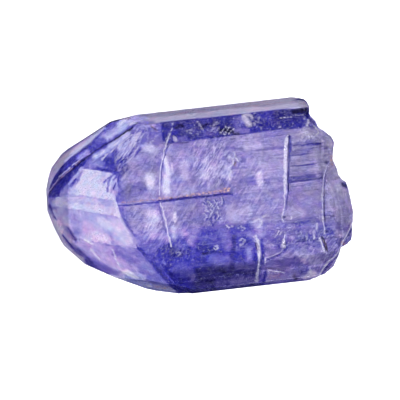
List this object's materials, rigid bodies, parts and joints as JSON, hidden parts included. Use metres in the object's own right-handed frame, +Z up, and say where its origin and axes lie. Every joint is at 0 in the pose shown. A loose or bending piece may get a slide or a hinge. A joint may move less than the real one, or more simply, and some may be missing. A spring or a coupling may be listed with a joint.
{
  "type": "rough tanzanite crystal",
  "caption": "Single uncut prism of transparent blue-violet crystal with a roof-shaped grown end and a stepped broken end, lying on its large back face.",
  "frame": {"origin": "bottom centre of the bounding box, on the ground under the lying crystal", "axes": "+X along the prism from the grown end to the broken end, +Z up, out of the large top face"},
  "size_m": [0.0304, 0.0184, 0.0108],
  "materials": {
    "tanzanite": "vitreous, etched in places"
  },
  "bodies": {
    "root": {"crystal": "tanzanite"}
  },
  "joints": []
}
